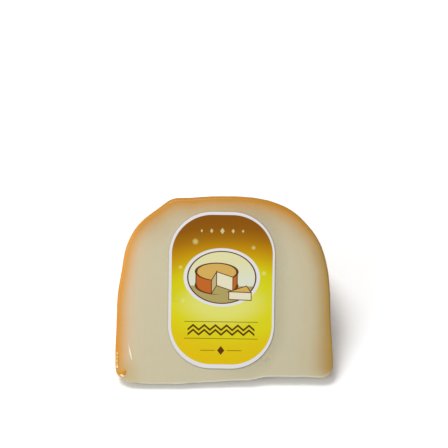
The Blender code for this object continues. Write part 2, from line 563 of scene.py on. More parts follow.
def label_shadow(tree, place):
    """How dark the cheese is beside the label: a thin line all round, and a wider one on its right."""
    x, distance = wheel_coordinates(tree, place)
    right = x - LABEL_ACROSS * MM
    rise = distance - LABEL_FROM_AXIS * MM
    cosine, sine = math.cos(math.radians(LABEL_TURN)), math.sin(math.radians(LABEL_TURN))
    across = right * cosine + rise * sine
    outside = sheet_distance(across, rise * cosine - right * sine)
    (line_reach, line_strength), (wide_reach, wide_strength) = LINE_SHADOW, WIDE_SHADOW
    line = (1.0 - outside.smooth(0.0, line_reach)) * line_strength
    wide = (1.0 - outside.smooth(0.0, wide_reach)) * across.share(*WIDE_FROM_TO_MM) * wide_strength
    normal = face_turn.to_3x3() @ Vector((0.0, 0.0, 1.0))
    from_axis = tree.vector("SUBTRACT", place, tuple(axis_place)).outputs[0]
    height = Number(tree, tree.vector("DOT_PRODUCT", from_axis, tuple(normal)).outputs["Value"])
    return (line + wide) * height.smooth(*SHADOW_HEIGHTS)


# %% [markdown]
# The paste is ivory and darkens towards the rind, where the cheese has dried: first a blush of tan,
# then apricot, then the orange of the rind itself. The kept distance from the rind drives three
# colour ramps: one for the left of the wheel, where the rind is orange, one for the right, where it
# is ochre and darker, partly painted shade on the side turned from the light, and one for the rim,
# which is browner and darker. Soft noise makes the bands wander.

# %% Colours from the rind inwards
RIND_REACH_MM = 15.0  # where the paste has its own colour
CORNER_REACH_MM = 6.0  # how much deeper that is at the lower right corner
CORNER_ACROSS_MM = (22.0, 45.0)  # where that corner begins and is whole, along the axis
CORNER_BEGINS_MM = (7.0, 15.0)  # the same, away from the axis
CORNER_ENDS_MM = (14.0, 38.0)  # and where it fades again
LEFT_TO_RIGHT_MM = (-48.0, 48.0)  # along the axis, from the orange side to the ochre one
RIM_TURN = (0.25, 0.95)  # how far a side faces the rim before it begins to count, and counts fully
RIM_COVER = 0.9
WANDER_SCALE = 55.0
WANDER_MM = 3.0
WANDER_FROM_MM = (0.0, 5.0)  # from the rind, where the wandering begins and is whole
ORANGE_RIND_STOPS = (
    (0.00, colour(217, 140, 44)),
    (0.06, colour(226, 158, 66)),
    (0.13, colour(226, 166, 84)),
    (0.20, colour(226, 175, 110)),
    (0.28, colour(225, 185, 138)),
    (0.42, colour(221, 196, 160)),
    (0.60, colour(215, 201, 168)),
    (1.00, colour(210, 201, 170)),
)
# The right side's ramp is the rind's ochre and also darker: partly painted shade on the side turned from the
# light.
OCHRE_AND_SHADE_RIND_STOPS = (
    (0.00, colour(168, 130, 60)),
    (0.06, colour(177, 143, 74)),
    (0.13, colour(182, 150, 88)),
    (0.20, colour(186, 158, 103)),
    (0.28, colour(190, 166, 119)),
    (0.42, colour(198, 181, 142)),
    (0.60, colour(204, 192, 158)),
    (1.00, colour(206, 197, 166)),
)
RIM_STOPS = (
    (0.00, colour(188, 126, 24)),
    (0.08, colour(191, 129, 26)),
    (0.13, colour(199, 139, 48)),
    (0.20, colour(205, 151, 77)),
    (0.27, colour(204, 161, 102)),
    (0.40, colour(201, 172, 125)),
    (0.56, colour(201, 182, 146)),
    (1.00, colour(207, 197, 166)),
)


def banded_paste(tree, place, from_rind_mm, faces_rim):
    """Colour of the cheese by its distance from the rind alone."""
    x, distance = wheel_coordinates(tree, place)
    wander = (tree.noise(place, WANDER_SCALE, detail=3.0, roughness=0.6) - 0.5) * WANDER_MM
    corner = x.smooth(*CORNER_ACROSS_MM) * distance.smooth(*CORNER_BEGINS_MM)
    corner = corner * (1.0 - distance.smooth(*CORNER_ENDS_MM))
    reach = RIND_REACH_MM + corner * CORNER_REACH_MM
    depth = (from_rind_mm + wander * from_rind_mm.share(*WANDER_FROM_MM)) / reach
    bands = []
    for stops in (ORANGE_RIND_STOPS, OCHRE_AND_SHADE_RIND_STOPS, RIM_STOPS):
        bands.append(tree.ramp(stops, depth))
    orange, ochre, rim = bands
    # The ochre side is partly painted shade.
    sides = tree.mix(x.share(*LEFT_TO_RIGHT_MM), orange, ochre)
    return tree.mix(faces_rim.smooth(*RIM_TURN) * RIM_COVER, sides, rim)


# %% [markdown]
# Over the bands lie the marks of how the cheese was cut and packed. Fine streaks run down the face
# where the wire was drawn through, and a faint mottle lies over them. The paste is stained beside the
# drop of coating and scuffed beside the label, and a pale line is painted along the thin edge as a
# highlight, where its rounded edge catches the light.

# %% Marks on the paste
STREAKS_PER_MM = (0.9, 0.04)  # along the axis, and away from it
STREAK_LEVELS = (0.45, 0.8)
MOTTLE_SCALE = 140.0
MOTTLE_LEVELS = (0.5, 0.8)
DULL_COVER = 0.15
DULL_FROM_MM = (1.0, 6.0)  # from the rind, where the dull marks begin and are whole
DULL_PASTE = colour(196, 188, 152)
# Spots on the face as a place across, a distance from the axis and a reach, in millimetres
DROP_STAIN = (-45.5, 10.8, 9.5)
LABEL_SCUFF = (20.0, 17.5, 6.0)
STAIN_COVER = 0.4
STAINED_PASTE = colour(190, 168, 100)
SCUFF_SCALE = 520.0
SCUFF_COVER = 2.2  # for each unit that the noise is off its middle
PALE_SCUFF = colour(222, 196, 160)
DARK_SCUFF = colour(168, 166, 112)
# The pale line along the thin edge is a painted highlight, where its rounded edge catches the light.
EDGE_HIGHLIGHT_WIDTH_MM = (0.1, 1.1)  # from the thin edge, where the pale line is whole and ends
EDGE_HIGHLIGHT_FROM_MM = (2.0, 8.0)  # from the rind, where it begins and is whole
EDGE_HIGHLIGHT_ACROSS_MM = (-55.0, -5.0)  # along the axis, the same
EDGE_HIGHLIGHT_COVER = 0.85
EDGE_HIGHLIGHT_COLOUR = colour(232, 229, 214)
SHADOW_COLOUR = colour(64, 54, 34)


def near(x, distance, spot):
    """1 at a spot, falling softly to 0 at its reach."""
    spot_x, spot_distance, reach = spot
    aside, above = x - spot_x, distance - spot_distance
    return 1.0 - (aside * aside + above * above).math("SQRT").smooth(0.0, reach)


def marked_paste(tree, place, paste, from_rind_mm, from_thin_edge_mm):
    """The paste with its streaks, spots, painted highlight on the thin edge and painted shadow by the label.
    """
    x, distance = wheel_coordinates(tree, place)
    along, away = STREAKS_PER_MM
    streaks = tree.noise(tree.join(x * along, distance * away, 0.0), 1.0, detail=3.0, roughness=0.6)
    mottle = tree.noise(place, MOTTLE_SCALE, detail=4.0, roughness=0.65)
    dull = streaks.smooth(*STREAK_LEVELS) * DULL_COVER + mottle.smooth(*MOTTLE_LEVELS) * DULL_COVER
    paste = tree.mix(dull * from_rind_mm.share(*DULL_FROM_MM), paste, DULL_PASTE)
    paste = tree.mix(near(x, distance, DROP_STAIN) * STAIN_COVER, paste, STAINED_PASTE)
    scuff = near(x, distance, LABEL_SCUFF) * (tree.noise(place, SCUFF_SCALE) - 0.5)
    paste = tree.mix((scuff * SCUFF_COVER).most(0.0), paste, PALE_SCUFF)
    paste = tree.mix((scuff * -SCUFF_COVER).most(0.0), paste, DARK_SCUFF)
    # Painted highlight: a pale line along the thin edge, where its rounded edge catches the light.
    pale = (1.0 - from_thin_edge_mm.smooth(*EDGE_HIGHLIGHT_WIDTH_MM)) * from_rind_mm.share(*EDGE_HIGHLIGHT_FROM_MM)
    paste = tree.mix(pale * x.share(*EDGE_HIGHLIGHT_ACROSS_MM) * EDGE_HIGHLIGHT_COVER, paste, EDGE_HIGHLIGHT_COLOUR)
    return tree.mix(label_shadow(tree, place), paste, SHADOW_COLOUR)


# %% [markdown]
# The rind is coated, and the coating has taken unevenly: it has cloudy patches where it is thick or
# thin, and small dark specks. One broad noise gives both kinds of patch, from its two ends, and a
# fine one gives the specks.

# %% Mottled rind
ON_RIND_MM = (0.0, 0.8)  # from the rind, where the mottling starts to fade and is gone
CLOUD_SCALE = 42.0
SPECK_SCALE = 620.0
# Levels of the noise where each begins and is whole, and how much it covers
THICK_COATING = ((0.5, 0.72), 0.4)
THIN_COATING = ((0.32, 0.5), 0.35)
RIND_SPECKS = ((0.6, 0.72), 0.45)
THICK_COLOUR = colour(166, 98, 34)
THIN_COLOUR = colour(238, 186, 104)
SPECK_COLOUR = colour(120, 72, 28)


def mottled_rind(tree, place, paste, from_rind_mm):
    """Cloudy patches and small dark specks, on the rind alone."""
    (thick_levels, thick), (thin_levels, thin) = THICK_COATING, THIN_COATING
    speck_levels, speck = RIND_SPECKS
    on_rind = 1.0 - from_rind_mm.smooth(*ON_RIND_MM)
    clouds = tree.noise(place, CLOUD_SCALE, detail=6.0, roughness=0.68)
    specks = tree.noise(place, SPECK_SCALE)
    paste = tree.mix(clouds.smooth(*thick_levels) * on_rind * thick, paste, THICK_COLOUR)
    paste = tree.mix((1.0 - clouds.smooth(*thin_levels)) * on_rind * thin, paste, THIN_COLOUR)
    return tree.mix(specks.smooth(*speck_levels) * on_rind * speck, paste, SPECK_COLOUR)


# %% [markdown]
# The paste has a fine, slightly open grain, and the rind is a little dimpled. Both are finer than the
# mesh, so they are a bump, while the dents and crumbs are in the mesh itself. The cheese has sweated
# in its film, so it is smoother in some patches than in others.

# %% Cheese relief and material
# Scale of each noise, and its height in millimetres
GRAIN = (900.0, 0.05)
SOFT_SWELLS = (90.0, 0.35)
DIMPLES = (380.0, 0.15)
DIMPLES_END_MM = (0.2, 1.5)  # from the rind
CHEESE_BUMP = 0.5
CHEESE_SPECULAR = 0.1
SWEAT_SCALE = 140.0
CHEESE_LEAST_ROUGH = 0.45
CHEESE_ROUGH_SWING = 0.3


def cheese_relief(tree, place, from_rind_mm):
    """Height of the cheese's surface, in millimetres: dimples on the rind and grain all over."""
    grain = tree.noise(place, GRAIN[0], detail=4.0, roughness=0.6) * GRAIN[1]
    swells = tree.noise(place, SOFT_SWELLS[0], detail=3.0, roughness=0.5) * SOFT_SWELLS[1]
    dimples = tree.noise(place, DIMPLES[0], detail=3.0, roughness=0.55) * DIMPLES[1]
    return grain + swells + dimples * (1.0 - from_rind_mm.smooth(*DIMPLES_END_MM))


def cheese_material():
    """Paste and rind, from the numbers that were kept on the mesh."""
    material, tree, shader = new_material("cheese paste and rind", Specular_IOR_Level=CHEESE_SPECULAR)
    place = tree.own_place()
    kept = {}
    for name in ("from_rind", "from_thin_edge", "faces_rim"):
        kept[name] = tree.number("ShaderNodeAttribute", {"attribute_name": name}, {}, "Fac")
    from_rind_mm = kept["from_rind"] * MM
    paste = banded_paste(tree, place, from_rind_mm, kept["faces_rim"])
    paste = marked_paste(tree, place, paste, from_rind_mm, kept["from_thin_edge"] * MM)
    tree.fill(shader.inputs["Base Color"], mottled_rind(tree, place, paste, from_rind_mm))
    sweat = tree.noise(place, SWEAT_SCALE, detail=4.0, roughness=0.65)
    tree.fill(shader.inputs["Roughness"], sweat * CHEESE_ROUGH_SWING + CHEESE_LEAST_ROUGH)
    height = cheese_relief(tree, place, from_rind_mm)
    tree.fill(shader.inputs["Normal"], tree.bump(height, 1.0 / MM, CHEESE_BUMP))
    return material


# %% [markdown]
# The film. It is thin, clear and glossy, so almost all light goes through and only a little mirrors
# off. The share that mirrors off is small where the film is seen square on, and rises steeply where
# it turns away over the edges. That share mixes a Transparent shader with a mirror-like one. It is
# the same from both sides, because in a film as thin as this light never has far to go.

# %% Film material
SQUARE_ON_SHARE = 0.012  # of the light, mirrored where the film is seen square on
STEEPNESS = 5.0  # power by which that share rises as the film turns away
PLAIN_BLEND = 0.5  # of the Layer Weight node, where Facing is 1 less the cosine of the slant
FILM_GREY = (0.9, 0.9, 0.9, 1.0)
FILM_ROUGHNESS = 0.3
FILM_RIPPLE_SCALE = 120.0
FILM_RIPPLE_HEIGHT = 0.0004
FILM_BUMP = 0.35


def film_material():
    """Clear film, as a mix of a Transparent shader and a mirror."""
    constants = {"Base_Color": FILM_GREY, "Metallic": 1.0, "Roughness": FILM_ROUGHNESS}
    material, tree, shader = new_material("clear film", **constants)
    place = tree.own_place()
    ripple = tree.noise(place, FILM_RIPPLE_SCALE, detail=3.0, roughness=0.6)
    rippled = tree.bump(ripple, FILM_RIPPLE_HEIGHT, FILM_BUMP)
    tree.fill(shader.inputs["Normal"], rippled)
    sockets = {"Blend": PLAIN_BLEND, "Normal": rippled}
    turned_away = tree.number("ShaderNodeLayerWeight", {}, sockets, "Facing")
    mirrored = turned_away ** STEEPNESS * (1.0 - SQUARE_ON_SHARE) + SQUARE_ON_SHARE
    clear = tree.add("ShaderNodeBsdfTransparent", {}, {"Color": (1.0, 1.0, 1.0, 1.0)})
    sockets = {0: mirrored, 1: clear.outputs[0], 2: shader.outputs[0]}
    film = tree.add("ShaderNodeMixShader", {}, sockets)
    tree.fill(material.node_tree.nodes["Material Output"].inputs["Surface"], film.outputs[0])
    return material


# %% [markdown]
# The cheese and the film are the same wedge at two depths: the film just under the solid model's
# surface, and the cheese a little further in. The same tree grows both.

# %% Grow the cheese and the film
FILM_DEPTH = 0.00003
CHEESE_DEPTH = 0.00013

wedge = wedge_group()
wedge_sizes = {"Cut Angle": math.radians(CUT_ANGLE), "Axis Below Heart": AXIS_BELOW_HEART}
wedge_place = Matrix.Translation(axis_place)
cheese_values = {**wedge_sizes, "Depth": CHEESE_DEPTH, "Material": cheese_material()}
cheese = grow("cheese", wedge, cheese_values, wedge_place)
film_values = {**wedge_sizes, "Depth": FILM_DEPTH, "Material": film_material()}
film = grow("film", wedge, film_values, wedge_place)

# %% [markdown]
# At the lower left corner the shrunk film has nowhere to go and puckers into small beads, whose pale
# colour is partly a painted highlight. They are instances along a stretch of the outline, each laid
# flat on the skin near its edge, pointing along that edge, with seeded sizes. A speck at the end of
# the row and a glint on the corner, both painted highlights, come from the same tree, each with a
# count of one.

# %% The beads' tree
BALL_LEVEL = 4  # subdivisions of the ball that each bead is flattened from
BEAD_INPUTS = {
    "Cut Angle": "Float",
    "Axis Below Heart": "Float",
    "Turn": "Float",  # 0 on the rind, and a quarter turn on the shown face
    "Start": "Float",  # shares of the outline's length
    "End": "Float",
    "Inset": "Float",
    "Count": "Int",
    "Smallest": "Float",
    "Largest": "Float",
    "Shape": "Vector",
    "Seed": "Int",
    "Material": "Material",
}
SHOWN_CUT = 1.0  # the swing of the shown cut face


def bead_group():
    """Flattened beads along a stretch of the shown face's edge, set in from it."""
    group, tree, given = new_group("beads along an edge", BEAD_INPUTS)
    curve = outline_curve(tree)
    line = tree.add("GeometryNodeMeshLine", {}, {"Count": given["Count"]})
    index = tree.number("GeometryNodeInputIndex")
    share = given["Start"] + (given["End"] - given["Start"]) * index / (given["Count"] - 1.0).most(1.0)
    outline = sampled_outline(tree, curve, share)
    place, _ = skin_point(tree, given, outline, given["Turn"], SHOWN_CUT, given["Inset"])
    points = tree.add("GeometryNodeSetPosition", {}, {"Geometry": line.outputs[0], "Position": place})

    tilt = given["Cut Angle"]
    along = tree.join(outline[2], outline[3] * tilt.math("COSINE"), outline[3] * tilt.math("SINE"))
    upwards = tree.join(0.0, -tilt.math("SINE"), tilt.math("COSINE"))
    turned = tree.add("FunctionNodeAlignRotationToVector", {"axis": "X"}, {"Vector": along})
    flat = {"Rotation": turned.outputs[0], "Vector": upwards}
    turned = tree.add("FunctionNodeAlignRotationToVector", {"axis": "Z", "pivot_axis": "X"}, flat)
    ball = tree.add("GeometryNodeMeshIcoSphere", {}, {"Radius": 1.0, "Subdivisions": BALL_LEVEL})
    flattened = {"Geometry": ball.outputs[0], "Scale": given["Shape"]}
    bead = tree.add("GeometryNodeTransform", {}, flattened).outputs[0]
    sizes = {2: given["Smallest"], 3: given["Largest"], "Seed": given["Seed"]}
    size = tree.add("FunctionNodeRandomValue", {"data_type": "FLOAT"}, sizes).outputs[1]
    placed = {"Points": points.outputs[0], "Instance": bead, "Rotation": turned.outputs[0], "Scale": size}
    beads = tree.add("GeometryNodeInstanceOnPoints", {}, placed)
    end_group(tree, beads.outputs[0], given["Material"])
    return group


# %% [markdown]
# A single crease stands in the film beside that corner, its near-white colour a painted highlight,
# and a drop of the rind's orange coating has gathered at the corner itself. Both are ridges: a round
# section along a slightly bent line, flattened onto the face. The section grows and shrinks along the
# line by a sine, and raising the place along the line to a power moves the widest part towards its end.

# %% The ridge's tree
RIDGE_INPUTS = {
    "Start": "Vector",
    "Middle": "Vector",
    "End": "Vector",
    "Half Width": "Float",
    "Flatness": "Float",
    "Material": "Material",
}
RIDGE_STEPS = 32
RIDGE_SIDES = 12
WIDEST_POWER = 1.6
END_SHARE = 0.02  # of the full width, left at the two ends


def ridge_group():
    """A thin ridge along a bent line in X and Y, flattened in Z."""
    group, tree, given = new_group("ridge on a face", RIDGE_INPUTS)
    bend = {"Resolution": RIDGE_STEPS}
    for name in ("Start", "Middle", "End"):
        bend[name] = given[name]
    path = tree.add("GeometryNodeCurveQuadraticBezier", {}, bend).outputs[0]
    along = tree.number("GeometryNodeSplineParameter")
    taper = (along ** WIDEST_POWER * math.pi).math("SINE") * (1.0 - END_SHARE) + END_SHARE
    section = {"Resolution": RIDGE_SIDES, "Radius": given["Half Width"]}
    profile = tree.add("GeometryNodeCurvePrimitiveCircle", {}, section).outputs[0]
    sockets = {"Curve": path, "Profile Curve": profile, "Scale": taper, "Fill Caps": True}
    ridge = tree.add("GeometryNodeCurveToMesh", {}, sockets).outputs[0]
    flattened = {"Geometry": ridge, "Scale": tree.join(1.0, 1.0, given["Flatness"])}
    end_group(tree, tree.add("GeometryNodeTransform", {}, flattened).outputs[0], given["Material"])
    return group


# %% [markdown]
# The beads, the speck, the glint and the crease are opaque doubled film, with light colours that are
# painted highlights where the film catches the light. The drop of coating shines too. All are opaque
# and differ only in their colours, so one function makes them: a light colour, a darker one where the
# film or coating is thick, and a rippled surface.

# %% Glossy materials
GLOSS_RIPPLE_SCALE = 900.0
GLOSS_RIPPLE_HEIGHT = 0.0002
GLOSS_BUMP = 0.4
THICK_LEVELS = (0.45, 0.8)  # of the ripple, where the dark colour begins and is whole
FOLD_ROUGHNESS = 0.2
DROP_ROUGHNESS = 0.35


def glossy_material(name, light, dark, roughness):
    """Film with painted highlights, or coating: glossy, rippled, and darker where it is thick."""
    material, tree, shader = new_material(name, Roughness=roughness)
    place = tree.own_place()
    ripple = tree.noise(place, GLOSS_RIPPLE_SCALE, detail=3.0, roughness=0.6)
    tree.fill(shader.inputs["Base Color"], tree.mix(ripple.smooth(*THICK_LEVELS), light, dark))
    tree.fill(shader.inputs["Normal"], tree.bump(ripple, GLOSS_RIPPLE_HEIGHT, GLOSS_BUMP))
    return material


# The three film colours are painted highlights where the film catches the light; the coating's is its own.
puckered_and_highlight = glossy_material("puckered film and highlight", colour(244, 198, 116), colour(222, 168, 84), FOLD_ROUGHNESS)
painted_glint_film = glossy_material("painted glint film", colour(255, 240, 182), colour(238, 212, 140), FOLD_ROUGHNESS)
crease_highlight = glossy_material("crease with painted highlight", colour(255, 248, 216), colour(236, 220, 176), FOLD_ROUGHNESS)
coating = glossy_material("orange coating", colour(222, 152, 34), colour(200, 126, 18), DROP_ROUGHNESS)

# %% [markdown]
# Each small piece is a row of the inputs of its tree. The beads' places are shares of the outline's
# length, and the ridges' are places on the cut face, as a distance across and one from the axis.

# %% Grow the beads, the drop and the crease
BEAD_COLUMNS = ("Start", "End", "Inset", "Count", "Smallest", "Largest", "Shape", "Seed", "Material")
# The speck and the glint are painted highlights in a pale, opaque film colour.
BEAD_ROWS = {
    "film_beads": (0.5669, 0.5828, 0.0006, 4, 0.0006, 0.0008, (1.2, 0.75, 0.3), 4, puckered_and_highlight),
    "film_speck": (0.5858, 0.5858, 0.0006, 1, 0.00055, 0.00055, (1.0, 1.0, 0.3), 1, painted_glint_film),
    "film_glint": (0.6042, 0.6042, 0.0010, 1, 0.0011, 0.0011, (1.0, 0.5, 0.2), 1, painted_glint_film),
}
RIDGE_ROWS = {
    "film_crease": {
        "Start": (-0.0450, 0.0255, 0.0),
        "Middle": (-0.0442, 0.0205, 0.0),
        "End": (-0.0430, 0.0163, 0.0),
        "Half Width": 0.0004,
        "Flatness": 0.4,
        "Material": crease_highlight,
    },
    "rind_drop": {
        "Start": (-0.0499, 0.0112, 0.0),
        "Middle": (-0.0480, 0.0102, 0.0),
        "End": (-0.0460, 0.0119, 0.0),
        "Half Width": 0.0013,
        "Flatness": 0.2,
        "Material": coating,
    },
}

small_pieces = []
bead_tree = bead_group()
for name, row in BEAD_ROWS.items():
    values = {**wedge_sizes, "Turn": QUARTER_TURN, **dict(zip(BEAD_COLUMNS, row))}
    small_pieces.append(grow(name, bead_tree, values, wedge_place))
ridge_tree = ridge_group()
for name, values in RIDGE_ROWS.items():
    small_pieces.append(grow(name, ridge_tree, values, face_place))

# %% [markdown]
# The label is a paper sticker on the film: straight sides, wide round corners and a cut edge that
# catches a little light. It could be an extruded curve, but four rings of points round a flat middle
# give the edge its rounding too, and let the print coordinates be written as the faces are made. They
# run from 0 to 1 over the label's width and height, so the print turns with the paper.

# %% Label sheet
LABEL_THICKNESS = 0.0003
LABEL_RINGS = ((0.0, 0.0), (0.0, 0.7), (0.00005, 0.92), (0.00015, 1.0))  # inset, and share of thickness
CORNER_POINTS = 24


def label_ring(inset):
    """Points round the label, drawn in from its edge by an inset."""
    points = []
    for quarter in range(4):
        for i in range(CORNER_POINTS + 1):
            turn = math.radians(90.0 * (quarter + i / CORNER_POINTS))
            side = 1.0 if quarter in (0, 3) else -1.0
            top = 1.0 if quarter in (0, 1) else -1.0
            x = side * (LABEL_WIDTH / 2 - LABEL_CORNER) + (LABEL_CORNER - inset) * math.cos(turn)
            y = top * (LABEL_HEIGHT / 2 - LABEL_CORNER) + (LABEL_CORNER - inset) * math.sin(turn)
            points.append((x, y))
    return points


def label_mesh():
    """The label in its own plane, from its middle, with its print coordinates."""
    shape = bmesh.new()
    print_map = shape.loops.layers.uv.new("print")
    rings = []
    for inset, share in LABEL_RINGS:
        rings.append([shape.verts.new((x, y, share * LABEL_THICKNESS)) for x, y in label_ring(inset)])
    for low, high in zip(rings, rings[1:]):
        for i in range(len(low)):
            j = (i + 1) % len(low)
            shape.faces.new((low[i], low[j], high[j], high[i]))
    shape.faces.new(rings[-1])
    shape.faces.new(list(reversed(rings[0])))
    for face in shape.faces:
        for loop in face.loops:
            x, y, _ = loop.vert.co
            loop[print_map].uv = (x / LABEL_WIDTH + 0.5, y / LABEL_HEIGHT + 0.5)
    mesh = bpy.data.meshes.new("label_print")
    shape.to_mesh(mesh)
    shape.free()
    return mesh


label = bpy.data.objects.new("label_print", label_mesh())
on_face = Matrix.Translation((LABEL_ACROSS, LABEL_FROM_AXIS, -FILM_DEPTH))
label.data.transform(face_place @ on_face @ Matrix.Rotation(math.radians(LABEL_TURN), 4, "Z"))
bpy.context.scene.collection.objects.link(label)
print("label_print has", len(label.data.polygons), "faces")


# %% [markdown]
# The print is drawn by arithmetic: each shape is a distance that is negative inside it, and a soft
# step of that distance covers what is under it with ink. Shapes join by the lesser of two distances
# and overlap by the greater. All are in millimetres from the label's middle.


# %% Printed shapes
PRINT_SOFTNESS_MM = 0.06


class Print:
    """Colours laid over one another on the label, with the pen's place across and up."""

    def __init__(self, tree, across, up, ground):
        self.tree = tree
        self.across = across
        self.up = up
        self.colour = ground

    def ink(self, distance, tint, strength=1.0):
        """Covers the inside of a shape with a colour."""
        inside = (1.0 - distance.share(-PRINT_SOFTNESS_MM, PRINT_SOFTNESS_MM)) * strength
        self.colour = self.tree.mix(inside, self.colour, tint)

    def wash(self, distance, reach, tint, strength):
        """Lets a colour fade out from a shape's edge over a reach."""
        self.colour = self.tree.mix((1.0 - distance.smooth(0.0, reach)) * strength, self.colour, tint)

    def line(self, distance, width, tint, strength=1.0):
        """Draws along a shape's edge."""
        self.ink(abs(distance) - width / 2, tint, strength)

    def ellipse(self, x, y, half_width, half_height):
        across = (self.across - x) / half_width
        up = (self.up - y) / half_height
        return ((across * across + up * up).math("SQRT") - 1.0) * min(half_width, half_height)

    def box(self, x, y, half_width, half_height):
        return (abs(self.across - x) - half_width).most(abs(self.up - y) - half_height)

    def diamond(self, x, y, half_width, half_height):
        slant = math.hypot(1 / half_width, 1 / half_height)
        return (abs(self.across - x) / half_width + abs(self.up - y) / half_height - 1.0) / slant

    def polygon(self, corners):
        """A convex shape with its corners given anticlockwise."""
        furthest = None
        for (x0, y0), (x1, y1) in zip(corners, corners[1:] + corners[:1]):
            length = math.hypot(x1 - x0, y1 - y0)
            out_x, out_y = (y1 - y0) / length, (x0 - x1) / length
            side = self.across * out_x + self.up * out_y - (x0 * out_x + y0 * out_y)
            furthest = side if furthest is None else furthest.most(side)
        return furthest


# %% [markdown]
# The ground of the print runs from brown at the top through amber and lemon to gold, with a glow
# about its middle. Two ramps, one upwards and one downwards from the glow, share their first colour,
# so they meet without a line.

# %% Label ground
GLOW_ACROSS_MM = 4.0
GLOW_UP_MM = -6.0
GLOW_REACH_MM = 45.0
SIDE_PULL = 0.55  # how much a step sideways counts against one up or down
GLOW_COLOUR = colour(224, 220, 62)
UPWARD_STOPS = (
    (0.00, GLOW_COLOUR),
    (0.25, colour(216, 213, 38)),
    (0.32, colour(214, 208, 28)),
    (0.37, colour(213, 204, 22)),
    (0.43, colour(209, 188, 16)),
    (0.50, colour(202, 163, 13)),
    (0.58, colour(190, 138, 10)),
    (0.67, colour(166, 112, 12)),
    (0.78, colour(144, 89, 12)),
    (1.00, colour(130, 76, 16)),
)
DOWNWARD_STOPS = (
    (0.00, GLOW_COLOUR),
    (0.22, colour(220, 214, 36)),
    (0.33, colour(220, 212, 28)),
    (0.37, colour(221, 207, 25)),
    (0.44, colour(224, 198, 20)),
    (0.60, colour(226, 193, 16)),
)


def label_ground(tree, across, up):
    """The print's ground colour."""
    climb = up - GLOW_UP_MM
    aside = (across - GLOW_ACROSS_MM) * SIDE_PULL
    away = (climb * climb + aside * aside).math("SQRT") / GLOW_REACH_MM
    return tree.mix(climb > 0.0, tree.ramp(DOWNWARD_STOPS, away), tree.ramp(UPWARD_STOPS, away))


# %% [markdown]
# Over the ground lie plain motifs in the ground's own brown, white and amber. First come a row of
# diamonds, a pale glow with a few soft dots, and a white oval plaque with a sky and a table in it.

# %% Diamonds, glow and plaque
INK_WHITE = colour(228, 226, 229)
INK_BROWN = colour(98, 56, 18)
INK_CREAM = colour(226, 222, 168)
INK_SKY = colour(222, 226, 206)
INK_TABLE = colour(176, 162, 98)
INK_GLOW = colour(228, 232, 150)
LINE_MM = 0.5

DIAMONDS_UP_MM = 27.6
DIAMOND_ROW = ((-9.6, 0.7), (-5.0, 0.95), (0.0, 1.3), (5.0, 0.95), (9.6, 0.7))  # place and size
DIAMOND_SHAPE = (0.8, 1.15)  # half width and half height for a size of 1
DIAMOND_STRENGTH = 0.7

GLOW_HALF = (9.0, 4.5)
GLOW_FADE_MM = 8.0
GLOW_STRENGTH = 0.5
# Place across, place up and radius of each soft dot
GLOW_DOTS = ((-12.5, 22.5, 1.3), (14.6, 20.0, 0.9), (-19.3, 10.5, 0.8), (19.6, 8.2, 1.0), (-18.0, -5.0, 0.9))
DOT_HEART = 0.4  # share of a dot's radius before it fades

PLAQUE_UP_MM = 6.0
PLAQUE_HALF = (17.8, 13.6)
PLAQUE_BORDER_MM = 1.5
TABLE_UP_MM = 2.0
SKY_FADE_MM = 14.0


def draw_diamonds(art):
    """Five pale diamonds in a row, the largest in the middle."""
    for place, size in DIAMOND_ROW:
        diamond = art.diamond(place, DIAMONDS_UP_MM, size * DIAMOND_SHAPE[0], size * DIAMOND_SHAPE[1])
        art.ink(diamond, INK_CREAM, DIAMOND_STRENGTH)


def draw_glow(art):
    """A pale glow under the plaque, and a few soft dots."""
    art.wash(art.ellipse(0.0, GLOW_UP_MM, *GLOW_HALF), GLOW_FADE_MM, INK_GLOW, GLOW_STRENGTH)
    for x, y, radius in GLOW_DOTS:
        heart = radius * DOT_HEART
        art.wash(art.ellipse(x, y, heart, heart), radius, INK_GLOW, GLOW_STRENGTH)


def draw_plaque(art):
    """A white oval with a brown line, and a sky and a table in it."""
    oval = art.ellipse(0.0, PLAQUE_UP_MM, *PLAQUE_HALF)
    art.ink(oval, INK_WHITE)
    inner = oval + PLAQUE_BORDER_MM
    art.ink(inner, INK_CREAM)
    art.ink(inner, INK_SKY, 1.0 - (art.up - TABLE_UP_MM).smooth(0.0, SKY_FADE_MM))
    art.ink(inner.most(art.up - TABLE_UP_MM), INK_TABLE)
    art.line(inner, LINE_MM, INK_BROWN)


# %% [markdown]
# On the plaque stands a wheel of cheese with a wedge cut out of it, and the wedge lies beside it. Each
# is a few flat shapes with a thin brown line round them, laid from the back to the front.

# %% Wheel and slice
INK_RIND = colour(196, 104, 42)
INK_TOP = colour(214, 174, 92)
INK_PASTE = colour(232, 226, 196)
INK_SHADE = colour(196, 180, 130)
FINE_LINE_MM = 0.4

WHEEL_MIDDLE = (-2.4, 8.6)
WHEEL_HALF = (9.6, 4.0)
WHEEL_HEIGHT_MM = 6.4
NOTCH_FROM = -104.0  # degrees round the wheel's top
NOTCH_TO = -38.0
NOTCH_FLOOR_DROP_MM = 0.8

SLICE_TIP = (3.4, -0.6)
SLICE_FRONT = (13.8, -0.9)
SLICE_BACK = (11.6, 2.2)
SLICE_HEIGHT_MM = 3.6


def lowered(corner, drop):
    """A corner moved straight down the label."""
    return corner[0], corner[1] - drop


def draw_outlined(art, shape, tint):
    """A shape in one colour with a fine line round it."""
    art.ink(shape, tint)
    art.line(shape, FINE_LINE_MM, INK_BROWN)


